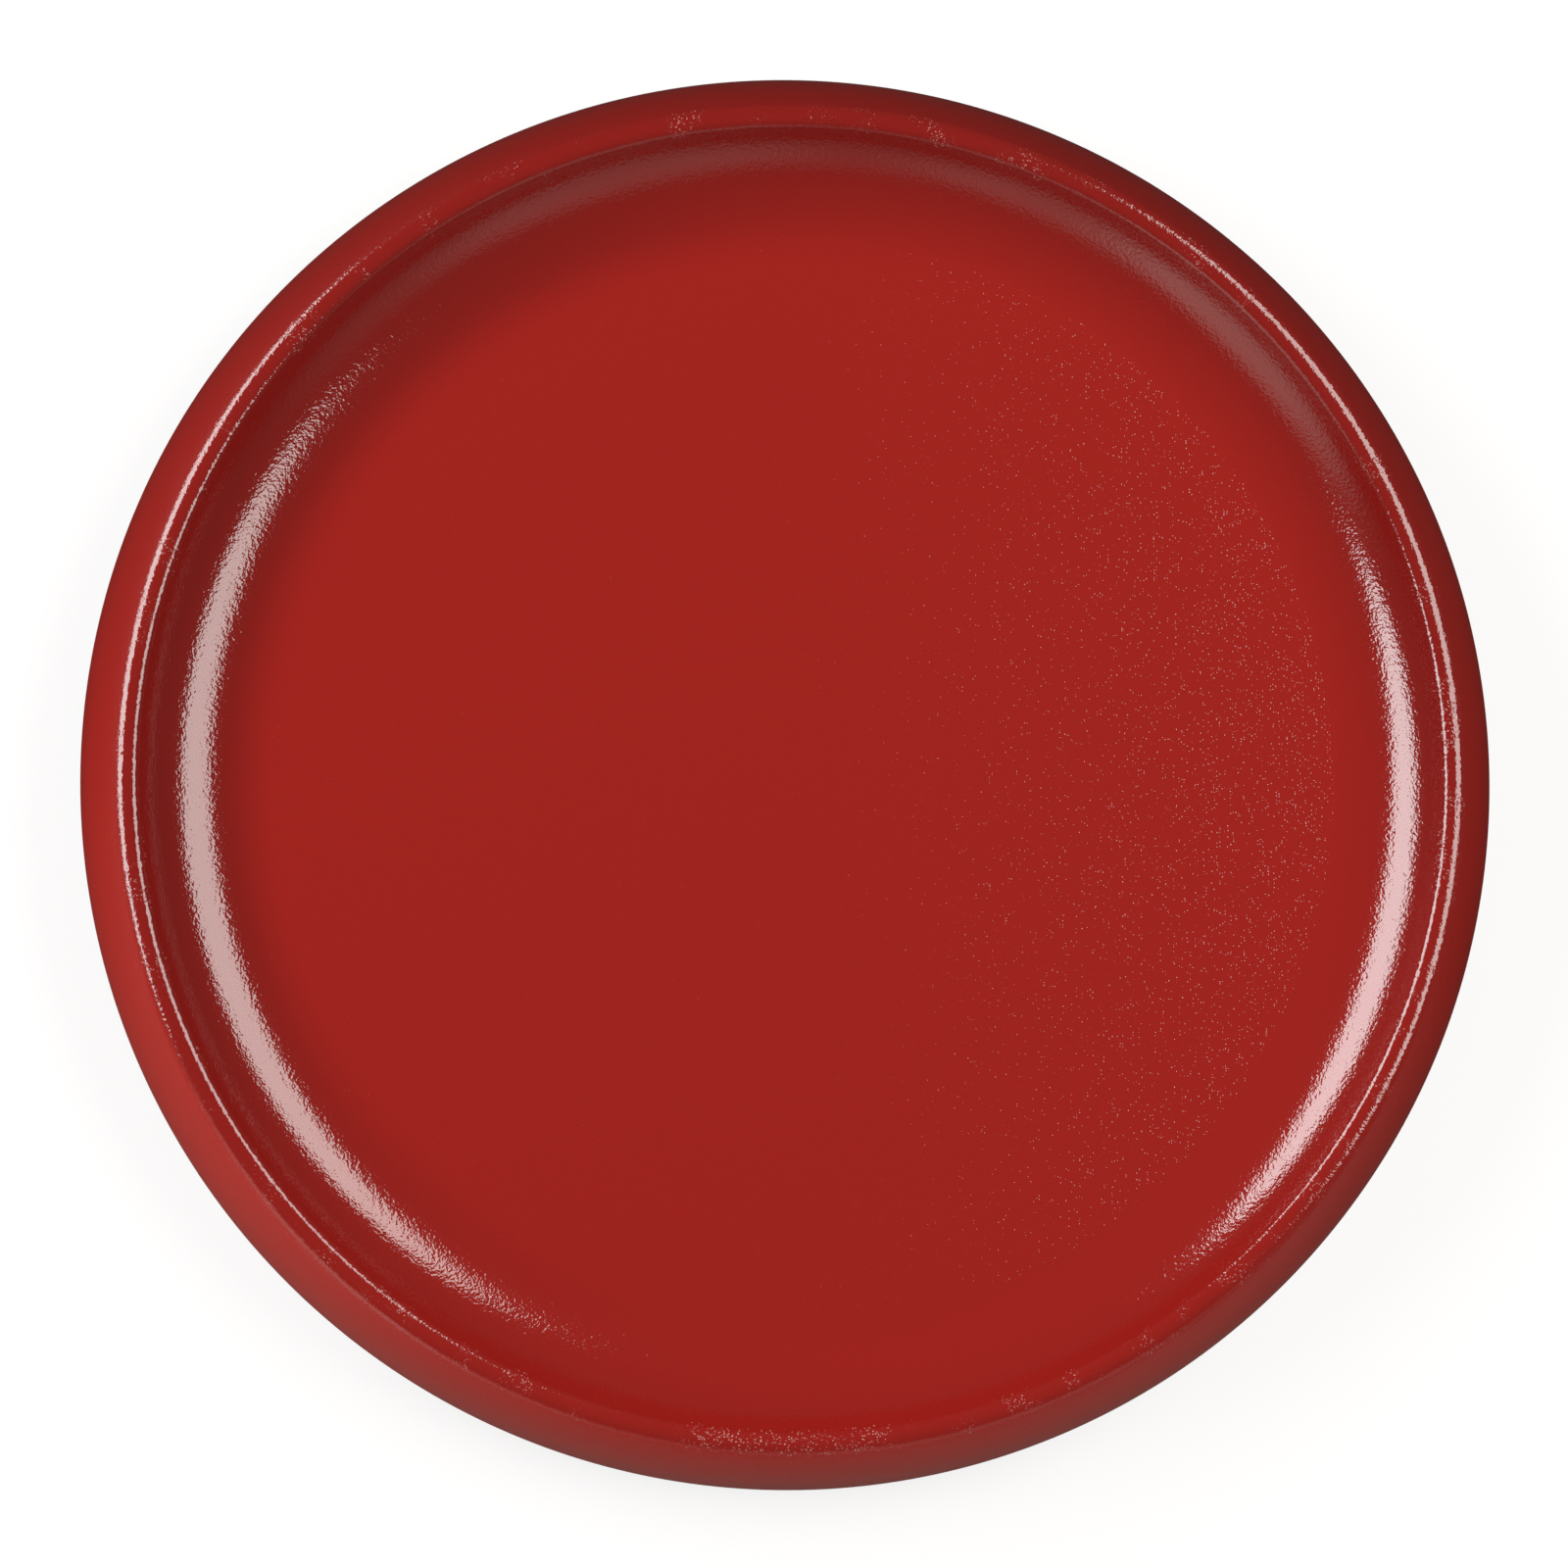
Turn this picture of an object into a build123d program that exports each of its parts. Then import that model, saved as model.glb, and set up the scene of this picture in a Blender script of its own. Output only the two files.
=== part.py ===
from build123d import *
from math import atan, cos, pi, radians, sin, tan
import os

# Shallow round dish, made in one piece: a flat floor inside a raised rim.
# Its foot stands on Z = 0, and Z is its axis of revolution.

# Driving sizes, in millimetres and degrees

# Across the dish, worked inwards from its widest circle
overall_diameter = 270.0
outer_wall_run = 7.8
rim_land_width = 2.9
cove_width = 20.2

# Heights, stacked up from the foot
recess_depth = 6.5
base_thickness = 7.0
well_depth = 11.0
belly_height = 6.5

# Rounded edges of the rim, and the share of its land that they leave flat at least
rim_outer_round = 3.6
rim_inner_round = 2.3
least_flat_share = 0.05

# Underside: a rounded heel, a gently rising skirt and a foot ring that is tapered inside
heel_radius = 3.2
skirt_draft = 2.5
foot_inset = 30.0
foot_width = 6.0
foot_bevel = 0.8
recess_taper = 30.0

# Places that follow from the driving sizes

belly_radius = overall_diameter / 2
rim_outer_radius = belly_radius - outer_wall_run
rim_inner_radius = rim_outer_radius - rim_land_width
floor_radius = rim_inner_radius - cove_width
foot_outer_radius = belly_radius - foot_inset
foot_inner_radius = foot_outer_radius - foot_width
recess_radius = foot_inner_radius - recess_depth * tan(radians(recess_taper))

floor_height = recess_depth + base_thickness
rim_height = floor_height + well_depth

# The rim's two rounds run onto the land from either side. Where it is too narrow for both, they
# shrink together, so that some of it always stays flat between them.
cove_slope = 2 * atan(well_depth / cove_width)
wall_slope = 2 * atan((rim_height - belly_height) / outer_wall_run) - pi / 2
land_taken = rim_inner_round * tan(cove_slope / 2) + rim_outer_round * tan(wall_slope / 2)
round_share = min(1.0, (1 - least_flat_share) * rim_land_width / land_taken)

# The heel turns inwards from upright at the belly until it lies along the drafted skirt
heel_turn = 90.0 - skirt_draft
skirt_radius = belly_radius - heel_radius * (1 - sin(radians(skirt_draft)))
skirt_height = belly_height - heel_radius * cos(radians(skirt_draft))
foot_root_height = skirt_height - (skirt_radius - foot_outer_radius) * tan(radians(skirt_draft))

# Corners of the half section, each as distance from the axis and height above the foot
centre_top = (0, floor_height)
cove_start = (floor_radius, floor_height)
rim_inner_corner = (rim_inner_radius, rim_height)
rim_outer_corner = (rim_outer_radius, rim_height)
belly_point = (belly_radius, belly_height)
foot_root = (foot_outer_radius, foot_root_height)
foot_outer_corner = (foot_outer_radius, 0)
foot_inner_corner = (foot_inner_radius, 0)
recess_corner = (recess_radius, recess_depth)
centre_bottom = (0, recess_depth)

os.makedirs("parts", exist_ok=True)


# Dish body. The cove leaves the floor level and steepens up to the rim, a flat land tops the
# rim, and the outer wall swells below it down to the belly, where it stands upright.
with BuildPart() as dish_body:
    with BuildSketch(Plane.XZ) as section:
        with BuildLine():
            Line(centre_top, cove_start)
            TangentArc(cove_start, rim_inner_corner, tangent=(1, 0))
            Line(rim_inner_corner, rim_outer_corner)
            TangentArc(belly_point, rim_outer_corner, tangent=(0, 1))
            heel = JernArc(belly_point, (0, -1), heel_radius, -heel_turn)
            Polyline(
                heel @ 1,
                foot_root,
                foot_outer_corner,
                foot_inner_corner,
                recess_corner,
                centre_bottom,
                centre_top,
            )
        make_face()
        fillet(section.vertices().sort_by_distance(rim_inner_corner)[0], rim_inner_round * round_share)
        fillet(section.vertices().sort_by_distance(rim_outer_corner)[0], rim_outer_round * round_share)
        chamfer(section.vertices().sort_by_distance(foot_outer_corner)[0], foot_bevel)
        chamfer(section.vertices().sort_by_distance(foot_inner_corner)[0], foot_bevel)
    revolve(axis=Axis.Z)

dish_body.part.label = "dish_body"
export_step(dish_body.part, "parts/dish_body.step")
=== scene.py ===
import math

import bmesh
import bpy
from mathutils import Matrix, Vector


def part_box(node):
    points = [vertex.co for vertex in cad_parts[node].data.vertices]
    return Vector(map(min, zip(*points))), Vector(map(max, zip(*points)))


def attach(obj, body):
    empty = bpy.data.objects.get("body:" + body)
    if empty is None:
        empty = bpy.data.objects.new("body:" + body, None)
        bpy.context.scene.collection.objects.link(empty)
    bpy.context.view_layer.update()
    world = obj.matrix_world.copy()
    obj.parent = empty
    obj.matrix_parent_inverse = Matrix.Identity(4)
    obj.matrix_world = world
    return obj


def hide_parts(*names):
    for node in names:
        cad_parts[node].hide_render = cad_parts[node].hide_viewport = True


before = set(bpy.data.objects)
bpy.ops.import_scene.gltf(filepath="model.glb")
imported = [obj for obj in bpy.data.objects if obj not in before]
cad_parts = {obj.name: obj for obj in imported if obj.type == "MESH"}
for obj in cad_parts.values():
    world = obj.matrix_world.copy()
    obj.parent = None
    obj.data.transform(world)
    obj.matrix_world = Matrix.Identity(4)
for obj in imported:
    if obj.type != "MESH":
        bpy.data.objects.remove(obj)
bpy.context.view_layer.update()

bl_info = {
    "name": "Round Stoneware Dish",
    "version": (1, 0, 0),
    "blender": (4, 5, 0),
    "location": "3D View > Sidebar > Dish",
    "description": "Models a shallow glazed stoneware dish round its construction solid",
    "category": "Add Mesh",
}

BODY_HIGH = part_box("dish_body")[1]
MM = 0.001

# Soft lamps: name, tilt from upright, turn, size, power, colour, and roll in the lamp's own plane
LAMP_DISTANCE = 1.3
SOFTBOXES = (
    ("left_softbox", 57.5, 161, (0.60, 1.55), 12.9, (1.0, 1.0, 1.0), 15),
    ("right_softbox", 41, 16, (0.67, 1.42), 9.85, (1.0, 0.97, 0.93), -7),
)

# Light of the room from everywhere, and its soft glows: tilt from upright, turn, spread, strength
WARM_WHITE = (1.0, 0.96, 0.88)
ROOM_LIGHT = 0.08
ROOM_GLOWS = (
    (73, 224, 21, 0.63),
    (73, 246, 20, 0.25),
    (72, 268, 20, 0.11),
    (72, 292, 22, 0.23),
    (72, 312, 20, 0.09),
)

# Ways out across the dish: to where the cove has the most painted shade, where the foot of the
# cove has the most painted shadow, where the wall has painted light, and where the glaze crawled most on
# the rim
COVE_SHADE_WAY = (-0.2, 0.98, 0)
FOOT_SHADOW_WAY = (-0.94, 0.34, 0)
WALL_LIGHT_WAY = (-0.42, -0.91, 0)
CRAWL_WAY = (-0.04, -1.0, 0)

# Way towards the bright end of the painted light on the backdrop paper
PAPER_LIGHT_WAY = (-0.14, -0.99, 0)

# High for a glaze, whose upper and lower skins together mirror more than one skin would
GLAZE_IOR = 1.85

# Where the camera and the lamps aim, just off the dish's axis
AIM_X = -0.8 * MM
AIM_Y = -0.3 * MM

# Faces along each stretch of the half section
FLOOR_STEPS = 4
COVE_STEPS = 26
INNER_ROUND_STEPS = 8
OUTER_ROUND_STEPS = 10
WALL_STEPS = 18
HEEL_STEPS = 8
BEVEL_STEPS = 4


# Helpers

def linear(hex_colour):
    """Turns an sRGB hex string into the linear RGBA colour that shaders expect."""
    channels = [int(hex_colour[i:i + 2], 16) / 255 for i in (0, 2, 4)]
    return tuple(c / 12.92 if c <= 0.04045 else ((c + 0.055) / 1.055) ** 2.4 for c in channels) + (1.0,)


def add_node(tree, kind, settings=None, inputs=None):
    """Adds a node, applies its settings, and fills or links its inputs."""
    node = tree.nodes.new(kind)
    for name, value in (settings or {}).items():
        setattr(node, name, value)
    for name, value in (inputs or {}).items():
        if isinstance(value, bpy.types.NodeSocket):
            tree.links.new(value, node.inputs[name])
        else:
            node.inputs[name].default_value = value
    return node


def new_material(name):
    """Makes an empty node material and returns it with its tree and output node."""
    material = bpy.data.materials.new(name)
    material.use_nodes = True
    tree = material.node_tree
    tree.nodes.clear()
    return material, tree, tree.nodes.new("ShaderNodeOutputMaterial")


def new_object(name, mesh):
    """Puts a mesh into the scene as an object at the origin."""
    piece = bpy.data.objects.new(name, mesh)
    bpy.context.scene.collection.objects.link(piece)
    return piece


def add_arc(bm, vertex, centre, turn, steps):
    """Draws an arc in the XZ plane from a vertex round a centre (x, z) and returns its end.

    A positive turn goes clockwise as seen from the front, from +Z towards +X.
    """
    result = bmesh.ops.spin(
        bm, geom=[vertex], cent=(centre[0], 0, centre[1]), axis=(0, 1, 0), angle=turn, steps=steps,
    )
    return next(part for part in result["geom_last"] if isinstance(part, bmesh.types.BMVert))


def add_line(bm, vertex, point, pieces=1):
    """Draws a straight line in the XZ plane from a vertex to a point (x, z) and returns its end."""
    start = vertex.co.copy()
    finish = Vector((point[0], 0, point[1]))
    for piece in range(1, pieces + 1):
        following = bm.verts.new(start.lerp(finish, piece / pieces))
        bm.edges.new((vertex, following))
        vertex = following
    return vertex


# Properties

class DishSettings(bpy.types.PropertyGroup):
    outer_wall_run: bpy.props.FloatProperty(
        name="Outer Wall Run", description="Distance from the rim's outer corner out to the widest circle",
        default=7.8 * MM, unit="LENGTH")
    rim_land_width: bpy.props.FloatProperty(
        name="Rim Land Width", description="Width of the flat top of the rim, from corner to corner",
        default=2.9 * MM, unit="LENGTH")
    cove_width: bpy.props.FloatProperty(
        name="Cove Width", description="Distance from the edge of the floor out to the rim's inner corner",
        default=20.2 * MM, unit="LENGTH")
    recess_depth: bpy.props.FloatProperty(
        name="Recess Depth", description="Depth of the hollow inside the foot ring",
        default=6.5 * MM, unit="LENGTH")
    base_thickness: bpy.props.FloatProperty(
        name="Base Thickness", description="Thickness of the floor",
        default=7.0 * MM, unit="LENGTH")
    belly_height: bpy.props.FloatProperty(
        name="Belly Height", description="Height of the widest circle above the foot",
        default=6.5 * MM, unit="LENGTH")
    rim_outer_round: bpy.props.FloatProperty(
        name="Rim Outer Round", description="Radius of the rim's outer edge",
        default=3.6 * MM, unit="LENGTH")
    rim_inner_round: bpy.props.FloatProperty(
        name="Rim Inner Round", description="Radius of the rim's inner edge",
        default=2.3 * MM, unit="LENGTH")
    heel_radius: bpy.props.FloatProperty(
        name="Heel Radius", description="Radius under the belly, where the wall turns in to the underside",
        default=3.2 * MM, unit="LENGTH")
    skirt_draft: bpy.props.FloatProperty(
        name="Skirt Draft", description="Slope of the underside between the heel and the foot ring",
        default=math.radians(2.5), subtype="ANGLE")
    foot_inset: bpy.props.FloatProperty(
        name="Foot Inset", description="Distance from the widest circle in to the foot ring",
        default=30.0 * MM, unit="LENGTH")
    foot_width: bpy.props.FloatProperty(
        name="Foot Width", description="Width of the foot ring",
        default=6.0 * MM, unit="LENGTH")
    foot_bevel: bpy.props.FloatProperty(
        name="Foot Bevel", description="Width of the rounded edges of the foot ring",
        default=0.8 * MM, unit="LENGTH")
    recess_taper: bpy.props.FloatProperty(
        name="Recess Taper", description="Lean of the foot ring's inner side from upright",
        default=math.radians(30), subtype="ANGLE")
    ring_steps: bpy.props.IntProperty(
        name="Ring Steps", description="Number of faces round the dish",
        default=360, min=64)


class GlazeSettings(bpy.types.PropertyGroup):
    red: bpy.props.StringProperty(
        name="Red", description="sRGB hex colour of the glaze", default="B2211A")
    # Deep Red is the colour of painted shade on the cove and on the wall
    painted_shade_red: bpy.props.StringProperty(
        name="Deep Red", description="sRGB hex colour where the glaze ran thick down a slope",
        default="921813")
    # Thin Red is the colour of painted light on the front left of the wall
    painted_light_red: bpy.props.StringProperty(
        name="Thin Red", description="sRGB hex colour where the glaze is thin on the wall",
        default="D2291F")
    # Pale is the colour of the painted glints on the tops of the rim's beads
    pale: bpy.props.StringProperty(
        name="Pale", description="sRGB hex colour of the tops of the beads on the rim", default="E59A91")
    clay: bpy.props.StringProperty(
        name="Clay", description="sRGB hex colour of the unglazed foot", default="C9B294")
    gloss_roughness: bpy.props.FloatProperty(
        name="Gloss Roughness", description="Roughness of the glaze inside the rim",
        default=0.1, min=0, max=1)
    satin_roughness: bpy.props.FloatProperty(
        name="Satin Roughness", description="Roughness of the glaze on the outer wall",
        default=0.28, min=0, max=1)
    clay_roughness: bpy.props.FloatProperty(
        name="Clay Roughness", description="Roughness of the unglazed foot", default=0.85, min=0, max=1)
    orange_peel: bpy.props.FloatProperty(
        name="Orange Peel", description="Distance between the small waves in the glaze",
        default=0.8 * MM, unit="LENGTH")
    peel_height: bpy.props.FloatProperty(
        name="Peel Height", description="Height of the small waves in the glaze",
        default=0.068 * MM, unit="LENGTH")
    bead_spacing: bpy.props.FloatProperty(
        name="Bead Spacing", description="Distance between the tiny beads in the glaze",
        default=0.52 * MM, unit="LENGTH")
    bead_width: bpy.props.FloatProperty(
        name="Bead Width", description="Width of a bead in the glaze",
        default=0.42 * MM, unit="LENGTH")
    bead_height: bpy.props.FloatProperty(
        name="Bead Height", description="Height of the tallest beads in the glaze",
        default=0.07 * MM, unit="LENGTH")
    patch_spacing: bpy.props.FloatProperty(
        name="Patch Spacing", description="Distance between the rough patches on the rim",
        default=8.0 * MM, unit="LENGTH")
    patch_width: bpy.props.FloatProperty(
        name="Patch Width", description="Width of the rough patches across the rim",
        default=5.0 * MM, unit="LENGTH")


class StudioSettings(bpy.types.PropertyGroup):
    camera_distance: bpy.props.FloatProperty(
        name="Camera Distance", description="Distance from the camera to the dish",
        default=1.6, unit="LENGTH")
    lean_x: bpy.props.FloatProperty(
        name="Lean X", description="Lean of the view to the dish's right, negative to its left",
        default=math.radians(-3.9), subtype="ANGLE")
    lean_y: bpy.props.FloatProperty(
        name="Lean Y", description="Lean of the view to the dish's back, negative to its front",
        default=math.radians(-3.2), subtype="ANGLE")
    view_width: bpy.props.FloatProperty(
        name="View Width", description="Width of the picture where the dish is widest",
        default=0.3000, unit="LENGTH")


# Materials

def glazed_stoneware(glaze, dish):
    """Red stoneware glaze: glossy inside the rim, satin on the wall, bare clay under the foot.

    The glaze was sprayed and fired. Its colour carries painted shade up the slope of the cove, a
    painted shadow at the foot of the cove, and painted light on one side of the wall with painted shade
    on the other. Its skin has an orange peel that breaks up the edges of its highlights, with tiny beads
    that glint, and it crawled into rough patches on the rim, whose beads carry painted glints on top.
    """
    material, tree, output = new_material("red_stoneware_glaze")
    rim_outer = BODY_HIGH[0] - dish.outer_wall_run
    rim_inner = rim_outer - dish.rim_land_width
    floor_radius = rim_inner - dish.cove_width

    coordinates = add_node(tree, "ShaderNodeTexCoord")
    place = coordinates.outputs["Object"]
    axes = add_node(tree, "ShaderNodeSeparateXYZ", inputs={"Vector": place})
    flat = add_node(tree, "ShaderNodeVectorMath", {"operation": "MULTIPLY"}, {
        0: place, 1: (1, 1, 0)}).outputs["Vector"]
    radius = add_node(tree, "ShaderNodeVectorMath", {"operation": "LENGTH"}, {0: flat}).outputs["Value"]
    way = add_node(tree, "ShaderNodeVectorMath", {"operation": "NORMALIZE"}, {0: flat}).outputs["Vector"]
    over_rim = add_node(tree, "ShaderNodeMapRange", {"interpolation_type": "SMOOTHSTEP"}, {
        "Value": radius,
        "From Min": rim_outer - 0.2 * MM,
        "From Max": rim_outer + 1.4 * MM,
    }).outputs["Result"]

    # Inside: painted shade, darker the further up the cove, less on the land, and least in front
    climb = add_node(tree, "ShaderNodeMapRange", inputs={
        "Value": radius,
        "From Min": floor_radius - 0.5 * MM,
        "From Max": rim_inner - 1.0 * MM,
    }).outputs["Result"]
    off_land = add_node(tree, "ShaderNodeMapRange", inputs={
        "Value": radius,
        "From Min": rim_inner - 0.6 * MM,
        "From Max": rim_inner + 0.6 * MM,
        "To Min": 1.0,
        "To Max": 0.75,
    })
    backward = add_node(tree, "ShaderNodeVectorMath", {"operation": "DOT_PRODUCT"}, {0: way, 1: COVE_SHADE_WAY})
    behind = add_node(tree, "ShaderNodeMapRange", {"interpolation_type": "SMOOTHSTEP"}, {
        "Value": backward.outputs["Value"],
        "From Min": -0.9,
        "From Max": 0.1,
        "To Min": 0.36,
        "To Max": 1.0,
    })
    shade_climb = add_node(tree, "ShaderNodeMath", {"operation": "MULTIPLY"}, {
        0: climb, 1: off_land.outputs["Result"]})
    painted_cove_shade = add_node(tree, "ShaderNodeMath", {"operation": "MULTIPLY"}, {
        0: shade_climb.outputs["Value"], 1: behind.outputs["Result"]})
    # Painted shadow: a soft dark band at the foot of the cove, strongest on the left
    foot_shadow_in = add_node(tree, "ShaderNodeMapRange", {"interpolation_type": "SMOOTHSTEP"}, {
        "Value": radius, "From Min": floor_radius - 6.0 * MM, "From Max": floor_radius + 2.0 * MM})
    foot_shadow_out = add_node(tree, "ShaderNodeMapRange", {"interpolation_type": "SMOOTHSTEP"}, {
        "Value": radius,
        "From Min": floor_radius + 3.0 * MM,
        "From Max": floor_radius + 14.0 * MM,
        "To Min": 1.0,
        "To Max": 0.0,
    })
    leftward = add_node(tree, "ShaderNodeVectorMath", {"operation": "DOT_PRODUCT"}, {0: way, 1: FOOT_SHADOW_WAY})
    foot_shadow_side = add_node(tree, "ShaderNodeMapRange", {"interpolation_type": "SMOOTHSTEP"}, {
        "Value": leftward.outputs["Value"],
        "From Min": -0.3,
        "From Max": 0.9,
        "To Min": 0.0,
        "To Max": 0.5,
    })
    painted_foot_shadow = add_node(tree, "ShaderNodeMath", {"operation": "MULTIPLY"}, {
        0: foot_shadow_in.outputs["Result"], 1: foot_shadow_out.outputs["Result"]})
    # Painted shade inside: the painted shadow at the foot of the cove added to the painted shade up the
    # cove
    inside_shade = add_node(tree, "ShaderNodeMath", {"operation": "MULTIPLY_ADD", "use_clamp": True}, {
        0: painted_foot_shadow.outputs["Value"],
        1: foot_shadow_side.outputs["Result"],
        2: painted_cove_shade.outputs["Value"],
    })
    inside = add_node(tree, "ShaderNodeMix", {"data_type": "RGBA"}, {
        "Factor": inside_shade.outputs["Value"], "A": linear(glaze.red), "B": linear(glaze.painted_shade_red)})

    # Outside: painted light, brighter on the front left of the wall, and painted shade, darker on the other
    # side
    forward = add_node(tree, "ShaderNodeVectorMath", {"operation": "DOT_PRODUCT"}, {0: way, 1: WALL_LIGHT_WAY})
    thin = add_node(tree, "ShaderNodeMapRange", inputs={
        "Value": forward.outputs["Value"], "From Min": 0.25, "From Max": 0.95})
    wall_shade = add_node(tree, "ShaderNodeMapRange", inputs={
        "Value": forward.outputs["Value"],
        "From Min": 0.25,
        "From Max": -1.0,
        "To Min": 0.0,
        "To Max": 0.92,
    })
    lit_wall = add_node(tree, "ShaderNodeMix", {"data_type": "RGBA"}, {
        "Factor": thin.outputs["Result"], "A": linear(glaze.red), "B": linear(glaze.painted_light_red)})
    outside = add_node(tree, "ShaderNodeMix", {"data_type": "RGBA"}, {
        "Factor": wall_shade.outputs["Result"], "A": lit_wall.outputs["Result"], "B": linear(glaze.painted_shade_red)})
    glazed = add_node(tree, "ShaderNodeMix", {"data_type": "RGBA"}, {
        "Factor": over_rim, "A": inside.outputs["Result"], "B": outside.outputs["Result"]})

    # The foot stood on the kiln shelf and was wiped bare
    bare = add_node(tree, "ShaderNodeMapRange", {"interpolation_type": "SMOOTHSTEP"}, {
        "Value": axes.outputs["Z"],
        "From Min": 0.3 * MM,
        "From Max": 0.6 * MM,
        "To Min": 1.0,
        "To Max": 0.0,
    }).outputs["Result"]
    colour = add_node(tree, "ShaderNodeMix", {"data_type": "RGBA"}, {
        "Factor": bare, "A": glazed.outputs["Result"], "B": linear(glaze.clay)})
    satin = add_node(tree, "ShaderNodeMix", {"data_type": "FLOAT"}, {
        "Factor": over_rim, "A": glaze.gloss_roughness, "B": glaze.satin_roughness})
    roughness = add_node(tree, "ShaderNodeMix", {"data_type": "FLOAT"}, {
        "Factor": bare, "A": satin.outputs["Result"], "B": glaze.clay_roughness})

    # Orange peel: shallow waves in the skin, drawn coarser than a real glaze has, so that they show
    peel = add_node(tree, "ShaderNodeTexNoise", inputs={
        "Vector": place, "Scale": 1 / glaze.orange_peel, "Detail": 1.0, "Roughness": 0.8})
    skin = add_node(tree, "ShaderNodeBump", inputs={
        "Strength": 1.0, "Distance": glaze.peel_height, "Height": peel.outputs["Fac"]})

    # Specks of overspray stand on the floor, taller to the right
    drift = add_node(tree, "ShaderNodeMapRange", inputs={
        "Value": axes.outputs["X"],
        "From Min": 0.0,
        "From Max": floor_radius,
        "To Min": 0.25,
        "To Max": 1.05,
    })
    on_floor = add_node(tree, "ShaderNodeMath", {"operation": "LESS_THAN"}, {0: radius, 1: floor_radius})
    spray = add_node(tree, "ShaderNodeMath", {"operation": "MULTIPLY"}, {
        0: drift.outputs["Result"], 1: on_floor.outputs["Value"]})

    # On the rim the glaze crawled into rough patches as it dried, most of all in front
    on_rim = add_node(tree, "ShaderNodeMath", {"operation": "COMPARE"}, {
        0: radius, 1: (rim_inner + rim_outer) / 2, 2: glaze.patch_width / 2})
    frontward = add_node(tree, "ShaderNodeVectorMath", {"operation": "DOT_PRODUCT"}, {0: way, 1: CRAWL_WAY})
    in_front = add_node(tree, "ShaderNodeMapRange", {"interpolation_type": "SMOOTHSTEP"}, {
        "Value": frontward.outputs["Value"],
        "From Min": 0.98,
        "From Max": 0.997,
        "To Min": 0.0,
        "To Max": 0.25,
    })
    cloud = add_node(tree, "ShaderNodeTexNoise", inputs={
        "Vector": place, "Scale": 1 / glaze.patch_spacing, "Detail": 1.0})
    crawl = add_node(tree, "ShaderNodeMath", {"operation": "ADD"}, {
        0: cloud.outputs["Fac"], 1: in_front.outputs["Result"]})
    patch = add_node(tree, "ShaderNodeMapRange", {"interpolation_type": "SMOOTHSTEP"}, {
        "Value": crawl.outputs["Value"],
        "From Min": 0.50,
        "From Max": 0.74,
        "To Min": 0.0,
        "To Max": 1.9,
    })
    rough_rim = add_node(tree, "ShaderNodeMath", {"operation": "MULTIPLY"}, {
        0: patch.outputs["Result"], 1: on_rim.outputs["Value"]})

    # Both are rounded beads, one in each cell: few of the specks are tall, and most of the patches'
    # beads are. Real ones are finer, and are drawn this coarse so that they show. None lies underneath.
    cells = add_node(tree, "ShaderNodeTexVoronoi", {"feature": "F1"}, {
        "Vector": flat, "Scale": 1 / glaze.bead_spacing})
    dome = add_node(tree, "ShaderNodeMapRange", {"interpolation_type": "SMOOTHSTEP"}, {
        "Value": cells.outputs["Distance"],
        "From Min": 0.0,
        "From Max": 0.5 * glaze.bead_width / glaze.bead_spacing,
        "To Min": 1.0,
        "To Max": 0.0,
    })
    upward = add_node(tree, "ShaderNodeMath", {"operation": "GREATER_THAN"}, {
        0: axes.outputs["Z"], 1: dish.recess_depth + dish.base_thickness / 2})
    bead = add_node(tree, "ShaderNodeMath", {"operation": "MULTIPLY"}, {
        0: dome.outputs["Result"], 1: upward.outputs["Value"]})
    chance = add_node(tree, "ShaderNodeSeparateColor", inputs={"Color": cells.outputs["Color"]})
    rarity = add_node(tree, "ShaderNodeMath", {"operation": "POWER"}, {0: chance.outputs["Red"], 1: 2.0})
    specks = add_node(tree, "ShaderNodeMath", {"operation": "MULTIPLY"}, {
        0: rarity.outputs["Value"], 1: spray.outputs["Value"]})
    tall = add_node(tree, "ShaderNodeMath", {"operation": "MULTIPLY_ADD"}, {
        0: chance.outputs["Red"], 1: rough_rim.outputs["Value"], 2: specks.outputs["Value"]})
    beads = add_node(tree, "ShaderNodeMath", {"operation": "MULTIPLY"}, {
        0: bead.outputs["Value"], 1: tall.outputs["Value"]})

    # The beads of the patches have pale tops, painted glints drawn because their real glints alone are too
    # fine to show
    topped = add_node(tree, "ShaderNodeMath", {"operation": "MULTIPLY"}, {
        0: bead.outputs["Value"], 1: rough_rim.outputs["Value"]})
    painted_glint_tops = add_node(tree, "ShaderNodeMath", {"operation": "MULTIPLY", "use_clamp": True}, {
        0: topped.outputs["Value"], 1: chance.outputs["Green"]})
    beaded_colour = add_node(tree, "ShaderNodeMix", {"data_type": "RGBA"}, {
        "Factor": painted_glint_tops.outputs["Value"], "A": colour.outputs["Result"], "B": linear(glaze.pale)})
    beaded = add_node(tree, "ShaderNodeBump", inputs={
        "Strength": 1.0,
        "Distance": glaze.bead_height,
        "Height": beads.outputs["Value"],
        "Normal": skin.outputs["Normal"],
    })

    shader = add_node(tree, "ShaderNodeBsdfPrincipled", inputs={
        "Base Color": beaded_colour.outputs["Result"],
        "Roughness": roughness.outputs["Result"],
        "IOR": GLAZE_IOR,
        "Normal": beaded.outputs["Normal"],
    })
    tree.links.new(shader.outputs["BSDF"], output.inputs["Surface"])
    return material


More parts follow.
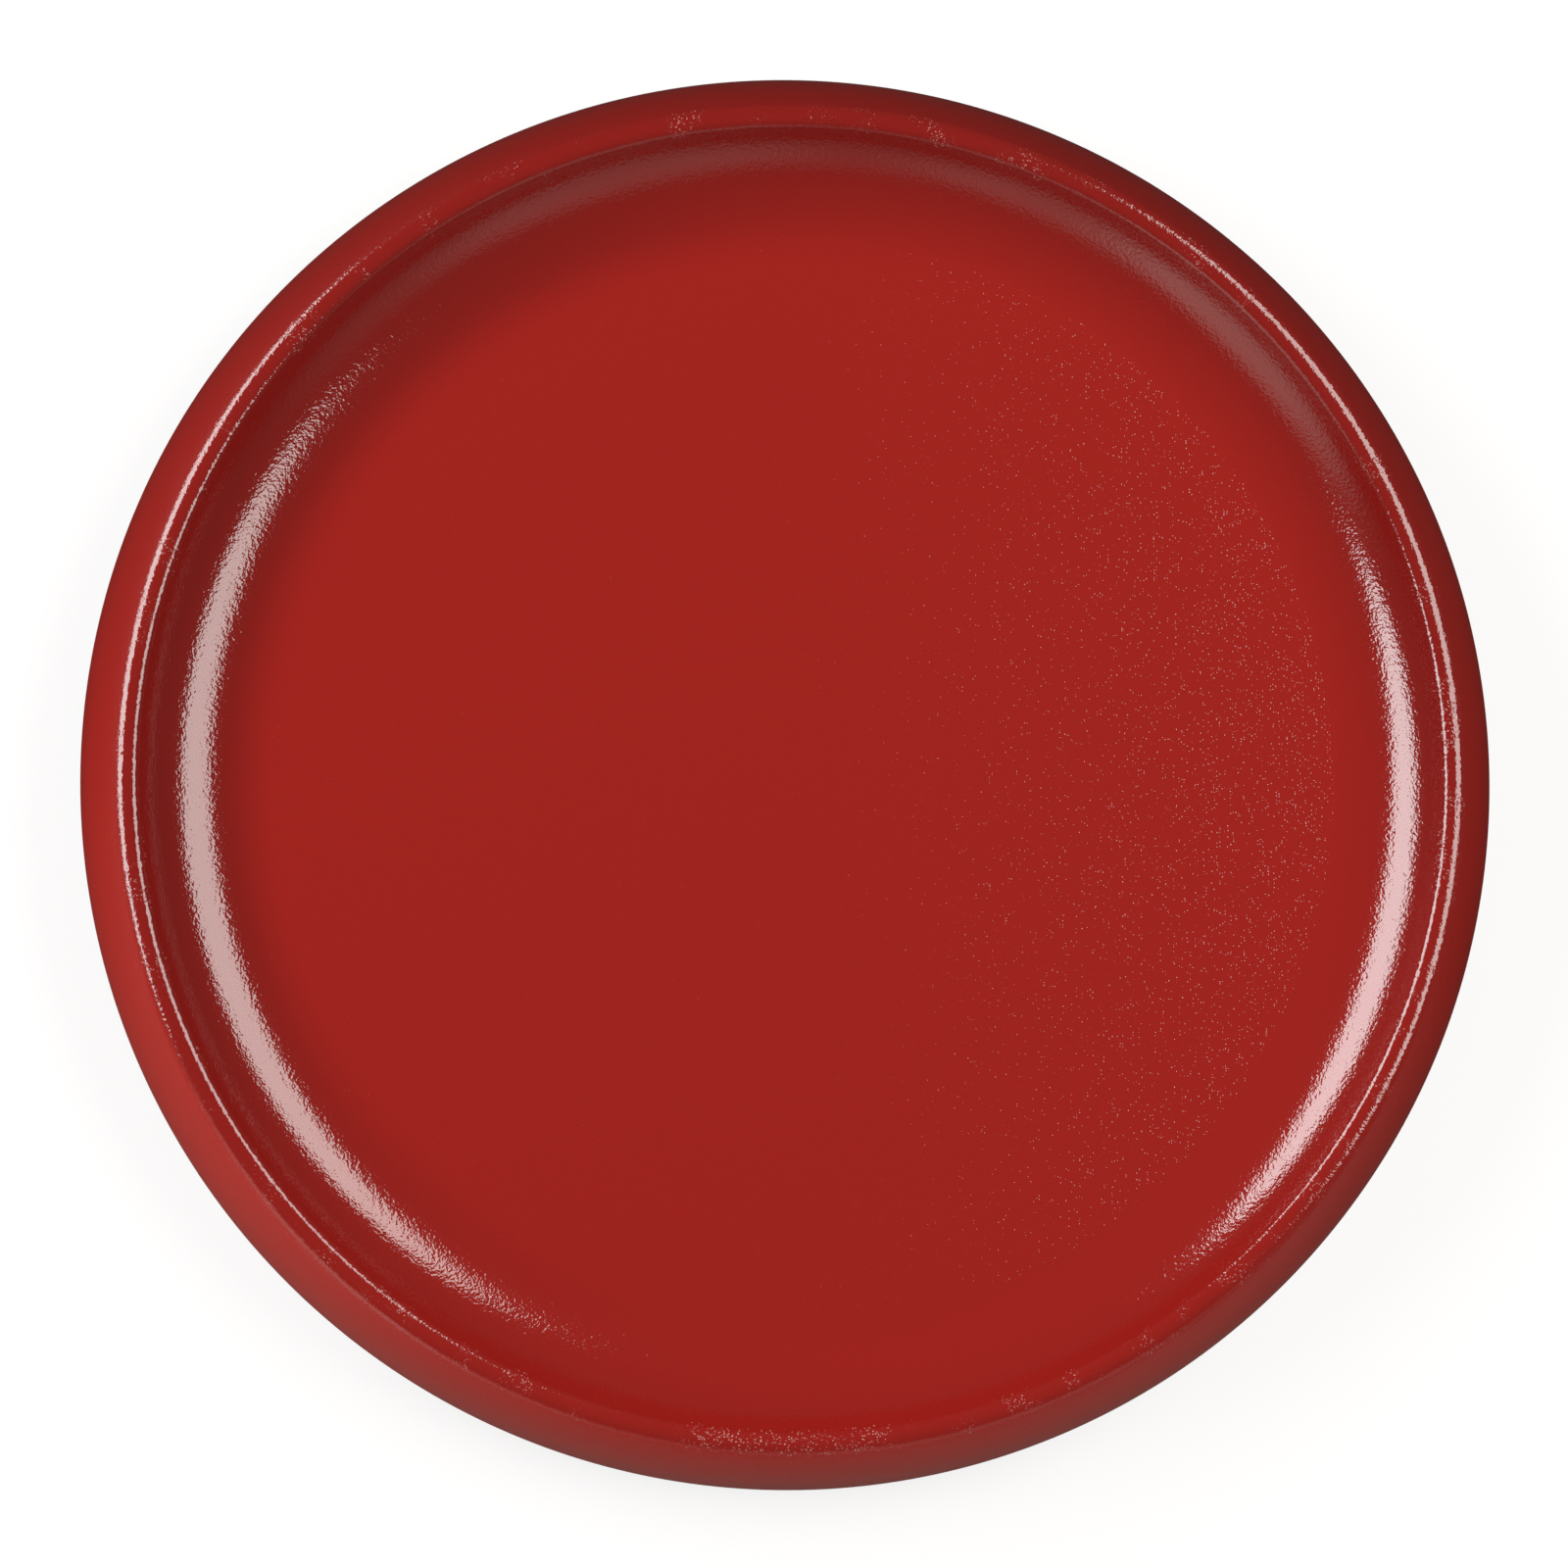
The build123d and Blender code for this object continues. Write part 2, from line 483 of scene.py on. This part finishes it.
def graduated_paper():
    """Backdrop paper whose colour carries painted light, bright in front and dark behind, but stays white
    to the camera.

    Its matt side lights and darkens the wall of the dish and takes the dish's soft shadow.
    """
    material, tree, output = new_material("graduated_backdrop_paper")
    place = add_node(tree, "ShaderNodeTexCoord").outputs["Object"]
    rays = add_node(tree, "ShaderNodeLightPath")
    along = add_node(tree, "ShaderNodeVectorMath", {"operation": "DOT_PRODUCT"}, {0: place, 1: PAPER_LIGHT_WAY})
    # The paper's colour here is painted light: bright in front, dark behind
    painted_paper_light = add_node(tree, "ShaderNodeMapRange", {"interpolation_type": "SMOOTHSTEP"}, {
        "Value": along.outputs["Value"],
        "From Min": 0.005,
        "From Max": 0.15,
        "To Min": 0.06,
        "To Max": 0.31,
    })
    warm = add_node(tree, "ShaderNodeVectorMath", {"operation": "SCALE"}, {
        0: WARM_WHITE, "Scale": painted_paper_light.outputs["Result"]})
    seen = add_node(tree, "ShaderNodeMix", {"data_type": "RGBA"}, {
        "Factor": rays.outputs["Is Camera Ray"], "A": warm.outputs["Vector"], "B": (0.3, 0.3, 0.3, 1)})
    matt = add_node(tree, "ShaderNodeBsdfDiffuse", inputs={"Color": seen.outputs["Result"]})
    away = add_node(tree, "ShaderNodeVectorMath", {"operation": "LENGTH"}, {0: place})
    whiteness = add_node(tree, "ShaderNodeMapRange", inputs={
        "Value": away.outputs["Value"], "From Min": 0.25, "From Max": 0.6, "To Min": 0.8, "To Max": 1.0})
    white = add_node(tree, "ShaderNodeMath", {"operation": "MULTIPLY"}, {
        0: rays.outputs["Is Camera Ray"], 1: whiteness.outputs["Result"]})
    glow = add_node(tree, "ShaderNodeEmission", inputs={
        "Color": (1, 1, 1, 1), "Strength": white.outputs["Value"]})
    both = add_node(tree, "ShaderNodeAddShader", inputs={
        0: matt.outputs["BSDF"], 1: glow.outputs["Emission"]})
    tree.links.new(both.outputs["Shader"], output.inputs["Surface"])
    return material


def dim_room():
    """World of a dim room with soft glows low in front, and white to the camera."""
    world = bpy.data.worlds.new("dim_room")
    world.use_nodes = True
    tree = world.node_tree
    tree.nodes.clear()
    direction = add_node(tree, "ShaderNodeTexCoord").outputs["Generated"]
    light = ROOM_LIGHT
    for tilt, turn, spread, strength in ROOM_GLOWS:
        tilt = math.radians(tilt)
        turn = math.radians(turn)
        spread = math.radians(spread)
        towards = (math.sin(tilt) * math.cos(turn), math.sin(tilt) * math.sin(turn), math.cos(tilt))
        facing = add_node(tree, "ShaderNodeVectorMath", {"operation": "DOT_PRODUCT"}, {
            0: direction, 1: towards})
        glow = add_node(tree, "ShaderNodeMapRange", {"interpolation_type": "SMOOTHSTEP"}, {
            "Value": facing.outputs["Value"],
            "From Min": math.cos(spread),
            "From Max": 1.0,
            "To Min": 0.0,
            "To Max": strength,
        })
        light = add_node(tree, "ShaderNodeMath", {"operation": "ADD"}, {
            0: light, 1: glow.outputs["Result"]}).outputs["Value"]
    rays = add_node(tree, "ShaderNodeLightPath")
    seen = add_node(tree, "ShaderNodeMath", {"operation": "MAXIMUM"}, {
        0: light, 1: rays.outputs["Is Camera Ray"]})
    warm = add_node(tree, "ShaderNodeMix", {"data_type": "RGBA"}, {
        "Factor": rays.outputs["Is Camera Ray"], "A": WARM_WHITE + (1.0,), "B": (1, 1, 1, 1)})
    room = add_node(tree, "ShaderNodeBackground", inputs={
        "Color": warm.outputs["Result"], "Strength": seen.outputs["Value"]})
    output = add_node(tree, "ShaderNodeOutputWorld")
    tree.links.new(room.outputs["Background"], output.inputs["Surface"])
    return world


# Operators

class DISH_OT_body(bpy.types.Operator):
    """Spin the dish body from its half section and glaze it"""
    bl_idname = "dish.body"
    bl_label = "Dish Body"

    def execute(self, context):
        dish = context.scene.dish
        glaze = context.scene.dish_glaze

        belly_radius = BODY_HIGH[0]
        rim_height = BODY_HIGH[2]
        floor_height = dish.recess_depth + dish.base_thickness
        well_depth = rim_height - floor_height
        rim_outer = belly_radius - dish.outer_wall_run
        rim_inner = rim_outer - dish.rim_land_width
        floor_radius = rim_inner - dish.cove_width
        wall_rise = rim_height - dish.belly_height

        # Radii and centres of the two large arcs, each tangent at one end
        cove_radius = (dish.cove_width ** 2 + well_depth ** 2) / (2 * well_depth)
        cove_centre = Vector((floor_radius, floor_height + cove_radius))
        wall_radius = (dish.outer_wall_run ** 2 + wall_rise ** 2) / (2 * dish.outer_wall_run)
        wall_centre = Vector((belly_radius - wall_radius, dish.belly_height))

        # Each rim round touches the land and its arc
        inner_centre_height = rim_height - dish.rim_inner_round
        inner_reach = cove_radius + dish.rim_inner_round
        inner_rise = inner_centre_height - cove_centre.y
        inner_run = math.sqrt(inner_reach ** 2 - inner_rise ** 2)
        inner_centre = Vector((cove_centre.x + inner_run, inner_centre_height))
        inner_turn = math.atan2(inner_centre.x - cove_centre.x, -inner_rise)

        outer_centre_height = rim_height - dish.rim_outer_round
        outer_reach = wall_radius - dish.rim_outer_round
        outer_rise = outer_centre_height - wall_centre.y
        outer_run = math.sqrt(outer_reach ** 2 - outer_rise ** 2)
        outer_centre = Vector((wall_centre.x + outer_run, outer_centre_height))
        outer_turn = math.atan2(outer_centre.x - wall_centre.x, outer_rise)

        # Half section, from the centre of the floor out over the rim and back under the foot
        bm = bmesh.new()
        end = bm.verts.new((0, 0, floor_height))
        end = add_line(bm, end, (floor_radius * 0.5, floor_height))
        end = add_line(bm, end, (floor_radius, floor_height), FLOOR_STEPS)
        end = add_arc(bm, end, cove_centre, -inner_turn, COVE_STEPS)
        end = add_arc(bm, end, inner_centre, inner_turn, INNER_ROUND_STEPS)
        end = add_line(bm, end, (outer_centre.x, rim_height))
        end = add_arc(bm, end, outer_centre, outer_turn, OUTER_ROUND_STEPS)
        end = add_arc(bm, end, wall_centre, math.pi / 2 - outer_turn, WALL_STEPS)
        heel_centre = (belly_radius - dish.heel_radius, dish.belly_height)
        end = add_arc(bm, end, heel_centre, math.pi / 2 - dish.skirt_draft, HEEL_STEPS)

        foot_outer = belly_radius - dish.foot_inset
        foot_inner = foot_outer - dish.foot_width
        recess_radius = foot_inner - dish.recess_depth * math.tan(dish.recess_taper)
        root_height = end.co.z - (end.co.x - foot_outer) * math.tan(dish.skirt_draft)
        bevel = dish.foot_bevel
        end = add_line(bm, end, (foot_outer, root_height), 3)
        end = add_line(bm, end, (foot_outer, bevel))
        end = add_arc(bm, end, (foot_outer - bevel, bevel), math.pi / 2, BEVEL_STEPS)
        end = add_line(bm, end, (foot_inner + bevel, 0))
        bevel_run = bevel * math.sin(dish.recess_taper)
        bevel_rise = bevel * math.cos(dish.recess_taper)
        bevel_end = (foot_inner - bevel_run, bevel_rise)
        end = add_line(bm, end, bevel_end, 2)
        end = add_line(bm, end, (recess_radius, dish.recess_depth), 2)
        end = add_line(bm, end, (recess_radius * 0.5, dish.recess_depth), 2)
        end = add_line(bm, end, (0, dish.recess_depth))

        bmesh.ops.spin(
            bm, geom=bm.verts[:] + bm.edges[:], cent=(0, 0, 0), axis=(0, 0, 1),
            angle=math.tau, steps=dish.ring_steps, use_merge=True,
        )
        bmesh.ops.remove_doubles(bm, verts=bm.verts, dist=0.001 * MM)
        bmesh.ops.recalc_face_normals(bm, faces=bm.faces)
        for face in bm.faces:
            face.smooth = True

        mesh = bpy.data.meshes.new("glazed_dish")
        bm.to_mesh(mesh)
        bm.free()
        piece = new_object("glazed_dish", mesh)
        mesh.materials.append(glazed_stoneware(glaze, dish))
        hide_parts("dish_body")
        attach(piece, "root")
        return {"FINISHED"}


class DISH_OT_studio(bpy.types.Operator):
    """Lay the backdrop paper, hang the soft lights and set the camera over the dish"""
    bl_idname = "dish.studio"
    bl_label = "Studio"

    def execute(self, context):
        studio = context.scene.dish_studio
        scene = context.scene

        bm = bmesh.new()
        bmesh.ops.create_grid(bm, x_segments=1, y_segments=1, size=1.5)
        mesh = bpy.data.meshes.new("table")
        bm.to_mesh(mesh)
        bm.free()
        table = new_object("table", mesh)
        mesh.materials.append(graduated_paper())

        target = Vector((AIM_X, AIM_Y, scene.dish.belly_height))
        for softbox in SOFTBOXES:
            self.add_softbox(target, *softbox)
        scene.world = dim_room()

        towards = Vector((math.tan(studio.lean_x), math.tan(studio.lean_y), 1)).normalized()
        right = Vector((0, 1, 0)).cross(towards).normalized()
        up = towards.cross(right)
        data = bpy.data.cameras.new("camera")
        data.sensor_width = 36
        data.lens = data.sensor_width * studio.camera_distance / studio.view_width
        camera = bpy.data.objects.new("camera", data)
        turn = Matrix((right, up, towards)).transposed().to_4x4()
        camera.matrix_world = Matrix.Translation(target + towards * studio.camera_distance) @ turn
        scene.collection.objects.link(camera)
        scene.camera = camera
        scene.view_settings.view_transform = "Standard"
        return {"FINISHED"}

    def add_softbox(self, target, name, tilt, turn, size, power, colour, roll):
        """Hangs an oval lamp that faces the target, with its angles in degrees."""
        lamp = bpy.data.lights.new(name, "AREA")
        lamp.shape = "ELLIPSE"
        lamp.size, lamp.size_y = size
        lamp.energy = power
        lamp.color = colour
        tilt = math.radians(tilt)
        turn = math.radians(turn)
        offset = Vector((
            math.sin(tilt) * math.cos(turn),
            math.sin(tilt) * math.sin(turn),
            math.cos(tilt),
        ))
        side = Vector((-math.sin(turn), math.cos(turn), 0))
        facing = Matrix((side.cross(offset), side, offset)).transposed().to_4x4()
        softbox = bpy.data.objects.new(name, lamp)
        hang = Matrix.Translation(target + offset * LAMP_DISTANCE)
        softbox.matrix_world = hang @ facing @ Matrix.Rotation(math.radians(roll), 4, "Z")
        bpy.context.scene.collection.objects.link(softbox)


class DISH_PT_panel(bpy.types.Panel):
    """Lists the dish's steps and sizes"""
    bl_idname = "DISH_PT_panel"
    bl_label = "Stoneware Dish"
    bl_space_type = "VIEW_3D"
    bl_region_type = "UI"
    bl_category = "Dish"

    def draw(self, context):
        layout = self.layout
        for group in (context.scene.dish, context.scene.dish_glaze, context.scene.dish_studio):
            column = layout.column()
            for name in group.__annotations__:
                column.prop(group, name)
        layout.operator("dish.body")
        layout.operator("dish.studio")


CLASSES = (DishSettings, GlazeSettings, StudioSettings, DISH_OT_body, DISH_OT_studio, DISH_PT_panel)


def register():
    for cls in CLASSES:
        bpy.utils.register_class(cls)
    bpy.types.Scene.dish = bpy.props.PointerProperty(type=DishSettings)
    bpy.types.Scene.dish_glaze = bpy.props.PointerProperty(type=GlazeSettings)
    bpy.types.Scene.dish_studio = bpy.props.PointerProperty(type=StudioSettings)


def unregister():
    del bpy.types.Scene.dish_studio
    del bpy.types.Scene.dish_glaze
    del bpy.types.Scene.dish
    for cls in reversed(CLASSES):
        bpy.utils.unregister_class(cls)


def main():
    register()
    bpy.ops.dish.body()
    bpy.ops.dish.studio()


if __name__ == "__main__":
    main()
